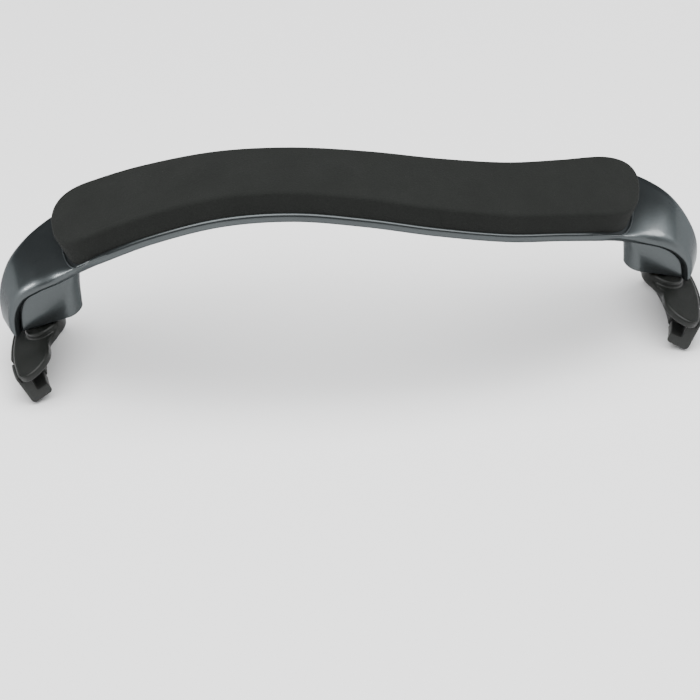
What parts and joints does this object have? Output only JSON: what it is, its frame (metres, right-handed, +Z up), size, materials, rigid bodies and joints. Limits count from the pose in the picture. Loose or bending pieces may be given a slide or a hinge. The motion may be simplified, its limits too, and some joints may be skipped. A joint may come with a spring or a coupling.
{
  "type": "shoulder rest",
  "caption": "Arched shoulder rest for a viola, with a curved foam pad, hooded ends and screw-in feet with rubber claws.",
  "frame": {"origin": "bottom centre of the bounding box, with the feet screwed fully in", "axes": "+X along the arch from the left foot to the right one, -Y towards the player's chest edge, +Z up from the feet to the pad"},
  "size_m": [0.2569, 0.0622, 0.0888],
  "materials": {
    "painted_plastic": "dark teal-grey metallic paint, glossy, over moulded plastic",
    "foam": "charcoal closed-cell foam, matt, fine open grain",
    "adhesive": "thin double-sided film",
    "hard_plastic": "black moulded plastic, finely textured",
    "rubber": "black moulded rubber, satin",
    "brass": "turned brass",
    "steel": "plated screw thread"
  },
  "bodies": {
    "beam": {"beam": "painted_plastic", "pad_adhesive": "adhesive", "foam_pad": "foam", "left_insert_outer": "brass", "left_insert_middle": "brass", "left_insert_inner": "brass", "right_insert_outer": "brass", "right_insert_middle": "brass", "right_insert_inner": "brass"},
    "left_post": {"left_post": "steel"},
    "left_foot": {"left_bracket": "hard_plastic", "left_front_claw": "rubber", "left_centre_claw": "rubber", "left_rear_claw": "rubber"},
    "right_post": {"right_post": "steel"},
    "right_foot": {"right_bracket": "hard_plastic", "right_front_claw": "rubber", "right_centre_claw": "rubber", "right_rear_claw": "rubber"}
  },
  "joints": [
    {"name": "left_foot_height", "type": "slide", "parent": "beam", "child": "left_post", "axis": [0.4226, 0, -0.9063], "range_m": [0, 0.007]},
    {"name": "left_foot_turn", "type": "hinge", "parent": "left_post", "child": "left_foot", "pos_m": [-0.11078, 0.00362, 0.01561], "axis": [0.4226, 0, -0.9063], "range_deg": [0, 3600]},
    {"name": "right_foot_height", "type": "slide", "parent": "beam", "child": "right_post", "axis": [-0.4226, 0, -0.9063], "range_m": [0, 0.007]},
    {"name": "right_foot_turn", "type": "hinge", "parent": "right_post", "child": "right_foot", "pos_m": [0.11282, 0.00362, 0.01561], "axis": [-0.4226, 0, -0.9063], "range_deg": [0, 3600]}
  ],
  "couplings": [
    {"joint": "left_foot_height", "follows": "left_foot_turn", "m_per_rad": 0.00011141},
    {"joint": "right_foot_height", "follows": "right_foot_turn", "m_per_rad": 0.00011141}
  ]
}
